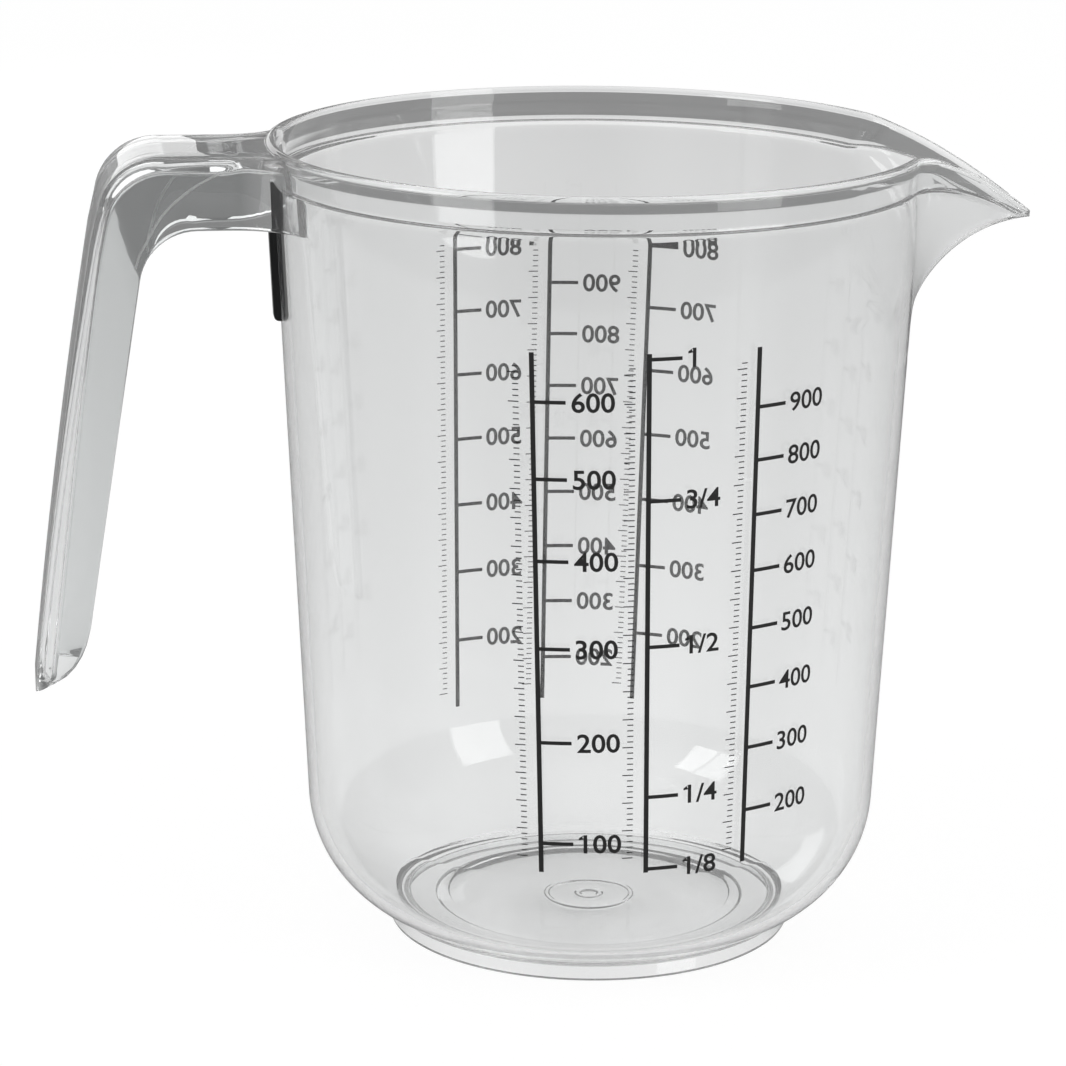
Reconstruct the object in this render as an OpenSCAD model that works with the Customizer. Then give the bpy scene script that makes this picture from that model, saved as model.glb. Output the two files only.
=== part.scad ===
// Clear plastic measuring jug with a beak spout, an open-ended channel handle and six printed scales.
// Frame: Z up, origin on the cup's axis in the plane it stands on, spout towards +X, handle towards -X.

/* [Cup] */
// Height of the rim above the table
jug_h = 150; // [144:0.5:156]
// Outer radius of the wall just under the rim collar
wall_top_r = 59.4; // [58:0.1:61]
// Outer radius of the wall at the height of the shoulder's centre
wall_base_r = 53.5; // [52:0.1:55]
// Height of the centre of the rounded shoulder
shoulder_h = 26.6; // [25.5:0.1:28]
// Radius of the shoulder's curve, seen in section
shoulder_r = 24.7; // [23.5:0.1:25.5]
// Thickness of the wall
wall_t = 1.8; // [1.4:0.1:2.2]
// Height of the inner floor above the table
floor_top = 9; // [8.4:0.1:9.8]
// Thickness of the floor
floor_t = 3; // [2.6:0.1:3.4]
// Radius of the thinner disc in the middle of the floor, seen from below
floor_disc_r = 29.7; // [26:0.1:32]
// Depth of that disc
floor_disc_depth = 0.6; // [0.3:0.1:0.9]

/* [Foot ring] */
// Outer radius of the ring that the jug stands on
foot_r = 37.9; // [37:0.1:39]
// Thickness of the ring
foot_t = 2.4; // [1.8:0.1:3]
// Round of the ring's lower outer edge
foot_round = 0.8; // [0.4:0.1:1.1]

/* [Rim collar] */
// Height of the stepped band under the rim
collar_h = 6.8; // [5.5:0.1:8]
// How far the band stands out from the wall
collar_step = 0.9; // [0.6:0.1:1.2]
// How much further the band stands out at the rim
collar_flare = 0.2; // [0.1:0.1:0.5]
// Thickness of the band
collar_t = 2.1; // [1.8:0.1:2.4]
// Round of the rim's two top edges
rim_round = 0.7; // [0.4:0.1:0.85]

/* [Spout] */
// How far the tip reaches past the rim
spout_out = 20.6; // [18:0.2:23]
// How far the tip droops below the rim
spout_droop = 14.3; // [12:0.1:16]
// Distance below the rim at which the keel leaves the wall
spout_depth = 40; // [37:0.5:43]
// Half of the angle that the mouth takes, seen from the cup's axis
spout_angle = 25; // [22:0.5:28]
// Half of the angle that the foot of the keel takes
keel_angle = 10; // [7:0.5:13]
// How hollow the beak's sides are, seen from above
spout_hollow = 1.55; // [1.3:0.05:1.8]
// Half of the angle that the blunt nose takes
nose_angle = 1.6; // [1:0.1:2.4]
// Thickness of the lip at the tip
lip_t = 1.5; // [1.2:0.1:1.9]

/* [Handle] */
// Distance from the rim to the handle's outer face, at the top
handle_reach = 29.8; // [27:0.2:33]
// Height of the handle, from its flat top to its tip
handle_h = 100; // [92:0.5:106]
// How far the handle's flat top lies under the rim
handle_drop = 0.7; // [0.4:0.1:1.2]
// Lean of the grip, outwards going down
handle_lean = 7.6; // [6:0.2:9]
// How far the grip's outer face bows out
grip_bow = 1; // [0.5:0.1:1.5]
// Depth of the grip's flanges at the top
grip_depth = 9.7; // [9:0.1:11]
// Depth of the grip's flanges at the tip
grip_tip_depth = 8.4; // [7.6:0.1:9]
// Depth of the flanges between the wall and the corner
bridge_depth = 13.2; // [12:0.2:15]
// Width of the handle at the top
handle_w = 28; // [26:0.2:30]
// Width of the handle at the tip
handle_tip_w = 21.4; // [20:0.2:24]
// Thickness of the outer plate of the grip
plate_t = 2.8; // [2.2:0.1:3.2]
// Thickness of the top plate beside the cup
bridge_t = 2.2; // [1.9:0.1:2.6]
// Thickness of the two side flanges
flange_t = 2.2; // [1.8:0.1:2.6]
// Outer radius of the corner
corner_r = 12; // [10:0.2:14]
// Radius of the flanges' inner corner
inner_corner_r = 11; // [9:0.2:13]
// Radius with which the flanges flare into the wall
root_r = 14; // [11:0.2:16]
// Radius of the flanges' lower end
tip_r = 8; // [6:0.2:9]
// Rise of the flanges' lower edge, away from the tip
tip_rise = 27; // [20:1:32]
// Round of the plate's long edges
edge_round = 2; // [1.2:0.1:2.1]

/* [Rib under the handle] */
// Width of the rib
rib_w = 3; // [2:0.1:4]
// How far the rib stands out from the wall
rib_proud = 1.4; // [1:0.1:1.8]
// Distance of the rib's lower end below the rim
rib_depth = 33; // [28:0.5:38]
// Round of the rib's lower outer corner
rib_round = 1; // [0.5:0.1:1]

/* [Printed scales] */
// Thickness of the ink
ink_t = 0.12; // [0.08:0.01:0.2]
// Width of the upright line of a scale
line_w = 0.85; // [0.6:0.05:1.1]
// Width of a mark
mark_w = 0.65; // [0.5:0.05:0.9]
// Length of a mark, from the line's centre
mark_l = 5.8; // [5:0.1:7]
// Length of the lines above the mark for one litre
line_above = 1; // [0.4:0.1:2]
// Angle by which the print leans to the left, seen from outside
scale_lean = 1; // [0:0.1:2]
// Angle between neighbouring scales
scale_pitch = 20; // [18:0.5:22]
// Turn of both groups away from the side of the jug
scale_turn = 2; // [0:0.5:4]

/* [Hidden] */
$fn = 144;
// One overrun serves every cut
over = 1;
clear_colour = [0.82, 0.84, 0.84];
dark_colour = [0.12, 0.12, 0.12];
ink_colour = [0.05, 0.05, 0.05];

// Cup: the wall leans outwards and is tangent to the shoulder, inside and outside
collar_z = jug_h - collar_h;
wall_slope = (wall_top_r - wall_base_r) / (collar_z - shoulder_h);
wall_lean = atan(wall_slope);
shoulder_x = wall_base_r - shoulder_r / cos(wall_lean);
foot_h = shoulder_h - sqrt(pow(shoulder_r, 2) - pow(foot_r - shoulder_x, 2));
inner_r = shoulder_h - floor_top;
inner_x = wall_base_r - wall_t - inner_r / cos(wall_lean);
floor_under = floor_top - floor_t;
rim_r = wall_r(jug_h) + collar_step + collar_flare;
collar_r = wall_top_r + collar_step;

// Spout: sections through the cup's axis, at azimuths that lie closer towards the nose
keel_z = jug_h - spout_depth;
lip_low_z = jug_h - spout_droop;
beak_out = rim_r + spout_out - wall_r(lip_low_z);
beak_rise = spout_depth - spout_droop - lip_t;
keel_r = (pow(beak_out, 2) + pow(beak_rise, 2)) / (2 * beak_out);
spout_end = spout_angle + keel_angle / 10;
spout_columns = 14;
spout_rows = 10;
band_start_share = 0.04;
band_end_share = 0.4;

// Handle: a side outline, seen along Y, with u as the distance from the cup's axis
handle_z = jug_h - handle_drop;
handle_tip_z = handle_z - handle_h;
bridge_z = handle_z - bridge_depth;
grip_u = rim_r + handle_reach;
grip_tip_u = grip_u + handle_h * tan(handle_lean);
grip_len = handle_h / cos(handle_lean);
grip_out = [cos(handle_lean), sin(handle_lean)];
bow_r = pow(grip_len, 2) / (16 * grip_bow);
inner_top = [grip_u + bridge_depth * tan(handle_lean) - grip_depth / cos(handle_lean), bridge_z];
inner_tip = [grip_tip_u - grip_tip_depth / cos(handle_lean), handle_tip_z];
tip_edge = [-cos(tip_rise), sin(tip_rise)];
flare_y = handle_w / 2 + root_r;
flare_u = sqrt(pow(wall_r(bridge_z - root_r) + root_r, 2) - pow(flare_y, 2));
flare_angle = atan2(flare_y, flare_u);

// Scales: a litre is a cube of this side, and dry foods have a share of water's density and pack down
litre_side = 100;
litre = pow(litre_side, 3);
flour_density_share = 0.56;
sugar_density_share = 0.93;
semolina_density_share = 0.82;
rice_density_share = 0.82;
flour_packing_share = 0.27;
sugar_packing_share = 0.08;
near_scales = -90 + scale_turn;
far_scales = 90 + scale_turn;
litre_shares = [1 / 8, 1 / 4, 1 / 2, 3 / 4, 1];

// Radius of the wall's outer face at height z
function wall_r(z) = wall_base_r + wall_slope * (z - shoulder_h);

// Points on an arc round a centre, from one angle to another
function arc(centre, r, from, to, steps) =
    [for (i = [0:steps]) let (a = from + (to - from) * i / steps) centre + r * [cos(a), sin(a)]];

function unit(v) = v / norm(v);

// Point where a line from p along d meets the line through a and b
function meet(p, d, a, b) =
    let (e = b - a, t = ((a.x - p.x) * e.y - (a.y - p.y) * e.x) / (d.x * e.y - d.y * e.x)) p + t * d;

// One corner of an outline as an arc that is tangent to both sides
function round_corner(before, at, after, r, steps) = r == 0 ? [at] :
    let (
        u = unit(before - at),
        v = unit(after - at),
        half = acos(u * v) / 2,
        centre = at + unit(u + v) * r / sin(half),
        p = at + u * r / tan(half) - centre,
        q = at + v * r / tan(half) - centre,
        from = atan2(p.y, p.x),
        turn = atan2(p.x * q.y - p.y * q.x, p * q)
    ) arc(centre, r, from, from + turn, steps);

// An outline with a radius for each of its corners
function rounded(points, radii, steps = 8) = let (n = len(points))
    [for (i = [0:n - 1]) each round_corner(points[(i + n - 1) % n], points[i], points[(i + 1) % n], radii[i], steps)];

// Volume under height z inside the shoulder, from the floor up
function shoulder_volume(z) = let (u = shoulder_h - z, w = sqrt(pow(inner_r, 2) - pow(u, 2))) PI * (
    pow(inner_x, 2) * (inner_r - u)
    + inner_x * (pow(inner_r, 2) * acos(u / inner_r) * PI / 180 - u * w)
    + pow(inner_r, 2) * (inner_r - u) - (pow(inner_r, 3) - pow(u, 3)) / 3);

// Height in the shoulder that holds a volume, found by halving
function shoulder_level(volume, low, high, steps) = let (mid = (low + high) / 2) steps == 0 ? mid :
    shoulder_volume(mid) < volume ? shoulder_level(volume, mid, high, steps - 1)
        : shoulder_level(volume, low, mid, steps - 1);

// Height that a volume of liquid reaches in the cup: above the shoulder the inside is a cone
function level(volume) = let (full = shoulder_volume(shoulder_h), r = wall_base_r - wall_t)
    volume < full ? shoulder_level(volume, floor_top, shoulder_h, 20)
        : shoulder_h + (pow(pow(r, 3) + 3 * wall_slope * (volume - full) / PI, 1 / 3) - r) / wall_slope;

// Volume of a mass of dry food in kilograms, which packs down under its own weight
function dry_volume(kilograms, density_share, packing_share = 0) =
    litre * kilograms / (density_share * (1 + packing_share * kilograms));

// Top end of every scale's line: above the mark for one litre, and under the rim collar
scale_top = min(level(litre), collar_z - 2 * line_above) + line_above;

// The marks of a scale that find room on its line
function on_line(heights) = [for (z = heights) if (z + mark_w / 2 < scale_top) z];

// The rim's rounded crest, from the outer side to the inner side
function crest(outer_r, inner_r, z) = concat(
    arc([outer_r - rim_round, z - rim_round], rim_round, 0, 90, 3),
    arc([inner_r + rim_round, z - rim_round], rim_round, 90, 180, 3));

// Share of the mouth's half angle that is left beyond an azimuth, with a blunt nose
function mouth_share(azimuth, half_angle) =
    max(0, 1 - (sqrt(pow(azimuth, 2) + pow(nose_angle, 2)) - nose_angle) / half_angle);

// How far the keel's arc of radius r stands out from the wall, at a share of its height
function keel_out(share, r) = r - sqrt(pow(r, 2) - pow(share * (beak_rise + r - keel_r), 2));

// How far the beak stands out from the wall, outside with the keel's radius and inside with one that is larger
function beak(azimuth, share, r) = let (
    narrow_share = sqrt(keel_out(min(1, share), keel_r) / beak_out),
    half_angle = keel_angle + (spout_angle - keel_angle) * narrow_share
) keel_out(min(1, share), r) * pow(mouth_share(azimuth, half_angle), spout_hollow);

// Heights from the keel's foot up to top, closer together where the keel turns outwards
function spout_heights(top) = [for (i = [0:spout_rows]) keel_z + (top - keel_z) * sin(90 * i / spout_rows)];

// One section through the spout's wall, in a plane through the cup's axis, as points in space
function spout_section(azimuth) = let (
    mouth = mouth_share(azimuth, spout_angle),
    fade = min(1, max(0, (band_end_share - mouth) / (band_end_share - band_start_share))),
    lip_z = jug_h - spout_droop * pow(mouth, 2),
    step_z = lip_z - collar_h - (lip_t - collar_h) * mouth,
    side_z = lip_z - rim_round,
    in_z = side_z - fade * (side_z - step_z) - (1 - fade) * (side_z - step_z) / 4,
    out_gap = (1 - fade) * (side_z - step_z) / 2,
    in_gap = (1 - fade) * (side_z - in_z) / 2,
    out_h = step_z - keel_z,
    in_h = lip_z - keel_z,
    lip_out = wall_r(lip_z) + beak(azimuth, 1, keel_r) + fade * (collar_step + collar_flare),
    collar_in = wall_t - collar_t + collar_step,
    inside = [for (z = spout_heights(in_z))
        [wall_r(z) - wall_t + beak(azimuth, (z - keel_z) / in_h, keel_r + lip_t), z]],
    outline = concat(
        [for (z = spout_heights(step_z)) [wall_r(z) + beak(azimuth, (z - keel_z) / out_h, keel_r), z]],
        [[wall_r(step_z + out_gap) + beak(azimuth, 1, keel_r) + fade * collar_step, step_z + out_gap]],
        crest(lip_out, min(lip_out - collar_t, wall_r(side_z) - wall_t
            + beak(azimuth, (side_z - keel_z) / in_h, keel_r + lip_t) + fade * jug_h), lip_z),
        [[wall_r(in_z + in_gap) - wall_t + fade * collar_in
            + beak(azimuth, (in_z + in_gap - keel_z) / in_h, keel_r + lip_t), in_z + in_gap]],
        [for (i = [spout_rows:-1:0]) inside[i]])
) [for (p = outline) [p.x * cos(azimuth), p.x * sin(azimuth), p.y]];

// A closed solid through sections that have the same number of points
module loft(sections) {
    n = len(sections[0]);
    last = len(sections) - 1;
    polyhedron(
        points = [for (section = sections) each section],
        faces = concat(
            [[for (j = [n - 1:-1:0]) j]],
            [[for (j = [0:n - 1]) last * n + j]],
            [for (i = [0:last - 1], j = [0:n - 1]) each let (
                a = i * n + j, b = i * n + (j + 1) % n, c = a + n, d = b + n) [[a, b, c], [b, d, c]]]
        ));
}

// The sector of the cup that the spout takes the place of
module spout_sector() {
    rotate([0, 0, -spout_end]) rotate_extrude(angle = 2 * spout_end) polygon([
        [inner_x, keel_z], [rim_r + spout_out, keel_z], [rim_r + spout_out, jug_h + over], [inner_x, jug_h + over]]);
}

// Everything inside the outer faces of the wall and the collar, to cut what seats on them
module cup_envelope() {
    rotate_extrude() polygon([
        [0, keel_z - spout_depth], [wall_r(keel_z - spout_depth), keel_z - spout_depth],
        [wall_top_r, collar_z], [collar_r, collar_z], [rim_r, jug_h], [0, jug_h]]);
}

module cup() {
    color(clear_colour) difference() {
        rotate_extrude() polygon(concat(
            [[0, floor_under], [floor_disc_r, floor_under], [floor_disc_r, floor_under - floor_disc_depth],
                [foot_r - foot_t, floor_under - floor_disc_depth], [foot_r - foot_t, foot_h]],
            arc([shoulder_x, shoulder_h], shoulder_r, -acos((foot_r - shoulder_x) / shoulder_r), -wall_lean, 20),
            [[wall_top_r, collar_z], [wall_top_r - wall_t, collar_z]],
            arc([inner_x, shoulder_h], inner_r, -wall_lean, -90, 20),
            [[0, floor_top]]));
        spout_sector();
    }
}

module foot_ring() {
    color(clear_colour) rotate_extrude() polygon(rounded(
        [[foot_r - foot_t, 0], [foot_r, 0], [foot_r, foot_h], [foot_r - foot_t, foot_h]],
        [0, foot_round, 0, 0], 4));
}

module rim_collar() {
    color(clear_colour) rotate([0, 0, spout_end]) rotate_extrude(angle = 360 - 2 * spout_end) polygon(concat(
        [[collar_r - collar_t, collar_z], [collar_r, collar_z]], crest(rim_r, rim_r - collar_t, jug_h)));
}

module spout() {
    color(clear_colour) loft([for (i = [-spout_columns:spout_columns]) let (share = i / spout_columns)
        spout_section(spout_end * sign(i) * pow(abs(share), 1.5))]);
}

// Corners of the handle's outer face at a depth under it, carried on past the tip by run
function outer_face(depth, run) = let (
    top = [grip_u - depth / cos(handle_lean), handle_z - depth],
    tip = [grip_tip_u - depth / cos(handle_lean), handle_tip_z],
    down = unit(tip - top))
    [top + depth * [tan(handle_lean), 0], (top + tip) / 2 + 2 * grip_bow * grip_out, tip + run * down];

// A plate outline in the XZ plane as a prism across the handle, on the handle's side of the cup
module across(points, width) {
    rotate([90, 0, 180]) linear_extrude(height = width, center = true) polygon(points);
}

// The wedge between the outer faces of the flanges, moved in by inset
module between_flanges(inset) {
    top = handle_w / 2 - inset;
    tip = handle_tip_w / 2 - inset;
    rise = over * (top - tip) / handle_h;
    translate([-grip_tip_u - over, 0, 0]) rotate([90, 0, 90])
        linear_extrude(height = grip_tip_u + over) polygon([
            [-top - rise, handle_z + over], [top + rise, handle_z + over],
            [tip - rise, handle_tip_z - over], [-tip + rise, handle_tip_z - over]]);
}

// One layer of the rounded outer face: the deeper it lies, the wider it may be
module face_layer(depth, inset) {
    face = outer_face(depth, handle_w);
    intersection() {
        across(rounded(concat([[0, handle_z - depth]], face, [[0, face[2].y]]),
            [0, corner_r - depth, bow_r, 0, 0], 6), handle_w);
        between_flanges(inset);
    }
}

// Plan outline of the flared root, for one half width and one radius round the flare's own centre
function root_outline(half, r) = let (side = arc([flare_u, flare_y], r, 180 + flare_angle, 270, 8),
    inside = (wall_top_r - collar_h) * [cos(flare_angle), sin(flare_angle)], out = flare_u + over)
    concat([inside], side, [[out, half], [out, -half]],
        [for (i = [len(side) - 1:-1:0]) [side[i].x, -side[i].y]], [[inside.x, -inside.y]]);

module root_block(half, r, low_z, high_z) {
    rotate([0, 0, 180]) translate([0, 0, low_z]) linear_extrude(height = high_z - low_z)
        polygon(root_outline(half, r));
}

module handle() {
    face = outer_face(0, 0);
    tip_corner = meet(face[2], tip_edge, inner_top, inner_tip);
    under = outer_face(plate_t, handle_w);
    color(clear_colour) difference() {
        union() {
            intersection() {
                across(rounded(
                    concat([[0, handle_z]], face, [tip_corner, inner_top, [0, bridge_z]]),
                    [0, corner_r, bow_r, 0, tip_r, inner_corner_r, 0], 10), handle_w);
                between_flanges(0);
                hull() {
                    face_layer(0, edge_round);
                    face_layer(edge_round * (1 - sqrt(1 / 2)), edge_round * (1 - sqrt(1 / 2)));
                    face_layer(edge_round, 0);
                }
            }
            root_block(handle_w / 2, root_r, bridge_z, handle_z);
        }
        // The channel, with the thinner plate beside the cup
        intersection() {
            across(rounded(
                concat([[0, handle_z - bridge_t], [flare_u - plate_t, handle_z - bridge_t], [flare_u, handle_z - plate_t]],
                    under, [[0, under[2].y]]),
                [0, 0, 0, corner_r - plate_t, bow_r, 0, 0], 10), handle_w);
            between_flanges(flange_t);
        }
        root_block(handle_w / 2 - flange_t, root_r + flange_t, bridge_z - over, handle_z - bridge_t);
        cup_envelope();
    }
}

module handle_rib() {
    low_z = jug_h - rib_depth;
    color(dark_colour) difference() {
        across(rounded(
            [[wall_r(low_z) - wall_t, low_z], [wall_r(low_z) + rib_proud, low_z], [wall_top_r + rib_proud, collar_z],
                [wall_top_r - wall_t, collar_z]],
            [0, rib_round, 0, 0], 6), rib_w);
        cup_envelope($fn = 360);
    }
}

// Outline of one mark at height z, to the right when side is 1 and to the left when it is -1
function mark(z, side) = [[side * mark_l, z - mark_w / 2], [side * mark_l, z + mark_w / 2]];

// One scale: a skin of ink on the wall, cut to an upright line with a mark at each height
module printed_scale(azimuth, side, heights) {
    low = shoulder_h;
    high = scale_top;
    middle = (low + high) / 2;
    half = line_w / 2;
    feet = [for (z = heights) max(z, low + mark_w)];
    right = [for (z = feet) each [[side * half, z - mark_w / 2], each mark(z, side), [side * half, z + mark_w / 2]]];
    color(ink_colour) intersection() {
        rotate([0, 0, azimuth - scale_pitch / 2]) rotate_extrude(angle = scale_pitch) polygon([
            [wall_r(low), low], [wall_r(low) + ink_t, low], [wall_r(high) + ink_t, high], [wall_r(high), high]]);
        rotate([90, 0, azimuth + 90]) linear_extrude(height = rim_r + wall_base_r)
            translate([0, middle]) rotate(scale_lean) translate([0, -middle])
                polygon(concat([[side * half, low - over]], right, [[side * half, high + over],
                    [-side * half, high + over], [-side * half, low - over]]));
    }
}

module flour_scale() {
    printed_scale(near_scales - scale_pitch, 1, on_line(
        [for (i = [1:6]) level(dry_volume(i / 10, flour_density_share, flour_packing_share))]));
}

module litre_scale() {
    printed_scale(near_scales, 1, on_line([for (share = litre_shares) level(litre * share)]));
}

module sugar_scale() {
    printed_scale(near_scales + scale_pitch, 1, on_line(
        [for (i = [2:9]) level(dry_volume(i / 10, sugar_density_share, sugar_packing_share))]));
}

module semolina_scale() {
    printed_scale(far_scales + scale_pitch, -1, on_line(
        [for (i = [2:8]) level(dry_volume(i / 10, semolina_density_share))]));
}

module millilitre_scale() {
    printed_scale(far_scales, -1, on_line([for (i = [2:10]) level(litre * i / 10)]));
}

module rice_scale() {
    printed_scale(far_scales - scale_pitch, -1, on_line(
        [for (i = [2:8]) level(dry_volume(i / 10, rice_density_share))]));
}

cup();
foot_ring();
rim_collar();
spout();
handle();
handle_rib();
flour_scale();
litre_scale();
sugar_scale();
semolina_scale();
millilitre_scale();
rice_scale();
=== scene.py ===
"""Clear plastic measuring jug: one clear moulding, a rib under the handle painted near-black as shade, and
six printed scales.
"""

import math

import bmesh
import bpy
from bpy.props import FloatProperty, FloatVectorProperty, IntProperty, PointerProperty
from mathutils import Matrix, Vector


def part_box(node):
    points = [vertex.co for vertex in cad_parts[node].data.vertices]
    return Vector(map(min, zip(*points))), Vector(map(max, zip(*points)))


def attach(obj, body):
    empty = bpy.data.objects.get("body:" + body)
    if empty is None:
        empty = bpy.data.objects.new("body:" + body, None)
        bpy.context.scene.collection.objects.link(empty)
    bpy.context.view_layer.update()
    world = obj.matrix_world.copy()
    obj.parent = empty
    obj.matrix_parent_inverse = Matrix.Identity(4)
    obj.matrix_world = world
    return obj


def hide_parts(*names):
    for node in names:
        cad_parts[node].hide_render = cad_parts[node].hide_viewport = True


bl_info = {
    "name": "Measuring Jug",
    "version": (1, 0, 0),
    "blender": (4, 5, 0),
    "location": "View3D > Sidebar > Measuring Jug",
    "description": "Builds a clear plastic measuring jug with printed scales, and its studio",
    "category": "Add Mesh",
}

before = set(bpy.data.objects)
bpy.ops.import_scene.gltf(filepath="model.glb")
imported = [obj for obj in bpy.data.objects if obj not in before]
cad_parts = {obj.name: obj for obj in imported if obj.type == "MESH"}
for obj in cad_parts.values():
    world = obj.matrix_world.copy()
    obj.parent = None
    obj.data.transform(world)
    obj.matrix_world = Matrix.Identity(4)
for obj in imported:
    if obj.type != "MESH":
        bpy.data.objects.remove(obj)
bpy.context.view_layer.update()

MM = 0.001
COLLAR_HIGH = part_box("rim_collar")[1]
FOOT_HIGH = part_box("foot_ring")[1]
SPOUT_LOW, SPOUT_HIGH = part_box("spout")
HANDLE_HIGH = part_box("handle")[1]
# how much further out the collar stands at its crest than at its foot
RIM_GROWTH = 0.0002

CLEAR_NODES = ("cup", "foot_ring", "rim_collar", "spout", "handle")


# Sizes and colours that a user would change


class JugCup(bpy.types.PropertyGroup):
    """Sizes of the cup, its foot ring and its rim collar"""

    height: FloatProperty(
        name="Height", description="Height of the rim above the table", default=COLLAR_HIGH.z, unit="LENGTH"
    )
    wall_top: FloatProperty(
        name="Wall at the Top", description="Outer radius of the wall under the collar",
        default=0.0594, unit="LENGTH",
    )
    wall_base: FloatProperty(
        name="Wall at the Shoulder", description="Outer radius of the wall at the shoulder",
        default=0.0535, unit="LENGTH",
    )
    wall: FloatProperty(
        name="Wall", description="Thickness of the wall", default=0.0018, unit="LENGTH"
    )
    shoulder_height: FloatProperty(
        name="Shoulder Height", description="Height of the shoulder's centre", default=0.0266, unit="LENGTH"
    )
    shoulder: FloatProperty(
        name="Shoulder", description="Radius of the shoulder in section", default=0.0247, unit="LENGTH"
    )
    floor: FloatProperty(
        name="Floor", description="Height of the inner floor", default=0.0037, unit="LENGTH"
    )
    floor_under: FloatProperty(
        name="Floor Underside", description="Height of the floor's underside", default=0.0022, unit="LENGTH"
    )
    disc: FloatProperty(
        name="Floor Disc", description="Radius of the recessed disc under the floor",
        default=0.0297, unit="LENGTH",
    )
    foot: FloatProperty(
        name="Foot", description="Outer radius of the foot ring", default=FOOT_HIGH.x, unit="LENGTH"
    )
    foot_height: FloatProperty(
        name="Foot Height", description="Height of the foot ring", default=FOOT_HIGH.z, unit="LENGTH"
    )
    collar: FloatProperty(
        name="Collar", description="Height of the rim collar", default=0.0068, unit="LENGTH"
    )
    collar_step: FloatProperty(
        name="Collar Step", description="How far the collar stands out from the wall",
        default=0.0009, unit="LENGTH",
    )
    collar_wall: FloatProperty(
        name="Collar Wall", description="Thickness of the collar", default=0.0021, unit="LENGTH"
    )
    crest: FloatProperty(
        name="Crest", description="Round of the rim's crest", default=0.00098, unit="LENGTH"
    )
    steps: IntProperty(
        name="Steps", description="Steps round the cup", default=288, min=48, max=720
    )


class JugSpout(bpy.types.PropertyGroup):
    """Sizes of the beak"""

    tip: FloatProperty(
        name="Tip", description="Distance of the tip from the cup's axis", default=SPOUT_HIGH.x, unit="LENGTH"
    )
    droop: FloatProperty(
        name="Droop", description="How far the tip lies under the rim", default=0.0143, unit="LENGTH"
    )
    keel: FloatProperty(
        name="Keel Foot", description="Height at which the keel leaves the wall",
        default=SPOUT_LOW.z, unit="LENGTH",
    )
    lip: FloatProperty(
        name="Lip", description="Thickness of the lip at the tip", default=0.0015, unit="LENGTH"
    )
    mouth: FloatProperty(
        name="Mouth", description="Half of the angle that the mouth takes",
        default=math.radians(25), subtype="ANGLE",
    )
    keel_angle: FloatProperty(
        name="Keel Angle", description="Half of the angle at the keel's foot",
        default=math.radians(10), subtype="ANGLE",
    )
    nose: FloatProperty(
        name="Nose", description="Half of the angle of the blunt nose",
        default=math.radians(1.6), subtype="ANGLE",
    )
    hollow: FloatProperty(
        name="Hollow", description="How hollow the beak's sides are", default=1.55
    )


class JugHandle(bpy.types.PropertyGroup):
    """Sizes of the handle"""

    top: FloatProperty(
        name="Top", description="Height of the handle's top", default=HANDLE_HIGH.z, unit="LENGTH"
    )
    half_top: FloatProperty(
        name="Half Width at the Top", description="Half of the width at the top", default=0.014, unit="LENGTH"
    )
    half_tip: FloatProperty(
        name="Half Width at the Tip", description="Half of the width at the tip",
        default=0.0107, unit="LENGTH",
    )
    flange: FloatProperty(
        name="Flange", description="Thickness of the side flanges", default=0.0022, unit="LENGTH"
    )
    plate: FloatProperty(
        name="Plate", description="Thickness of the outer plate", default=0.0028, unit="LENGTH"
    )
    bridge: FloatProperty(
        name="Bridge", description="Thickness of the top plate beside the cup", default=0.0022, unit="LENGTH"
    )
    edge: FloatProperty(
        name="Edge", description="Round of the outer edges", default=0.0022, unit="LENGTH"
    )
    flare: FloatProperty(
        name="Flare", description="Radius with which the root flares into the wall",
        default=0.014, unit="LENGTH",
    )


class JugLooks(bpy.types.PropertyGroup):
    """Colours and finishes"""

    plastic: FloatVectorProperty(
        name="Plastic", description="Tint of the clear plastic", default=(0.955, 0.96, 0.96), subtype="COLOR"
    )
    handle: FloatVectorProperty(
        name="Handle", description="Tint of the plastic in the thicker handle",
        default=(0.865, 0.875, 0.875), subtype="COLOR",
    )
    ink: FloatVectorProperty(
        name="Ink", description="Colour of the printed ink", default=(0.0196, 0.0196, 0.0196), subtype="COLOR"
    )
    # the rib's near-black colour is painted shade: the rib is clear plastic that looks black edge-on, as
    # light runs along inside it
    rib: FloatVectorProperty(
        name="Rib", description="Colour of the rib under the handle",
        default=(0.008, 0.008, 0.009), subtype="COLOR",
    )
    figure: FloatProperty(
        name="Figures", description="Height of the printed figures", default=0.0034, unit="LENGTH"
    )
    fine: FloatProperty(
        name="Fine Mark", description="Length of the short marks of a fine column",
        default=0.0012, unit="LENGTH",
    )
    lean: FloatProperty(
        name="Lean", description="Angle by which the print leans to the left",
        default=math.radians(1), subtype="ANGLE",
    )


# Curves that the outlines are made of


def arc(cx, cy, r, start, end, steps):
    """Points on an arc, with its angles in degrees."""
    out = []
    for i in range(steps + 1):
        a = math.radians(start + (end - start) * i / steps)
        out.append((cx + r * math.cos(a), cy + r * math.sin(a)))
    return out


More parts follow.
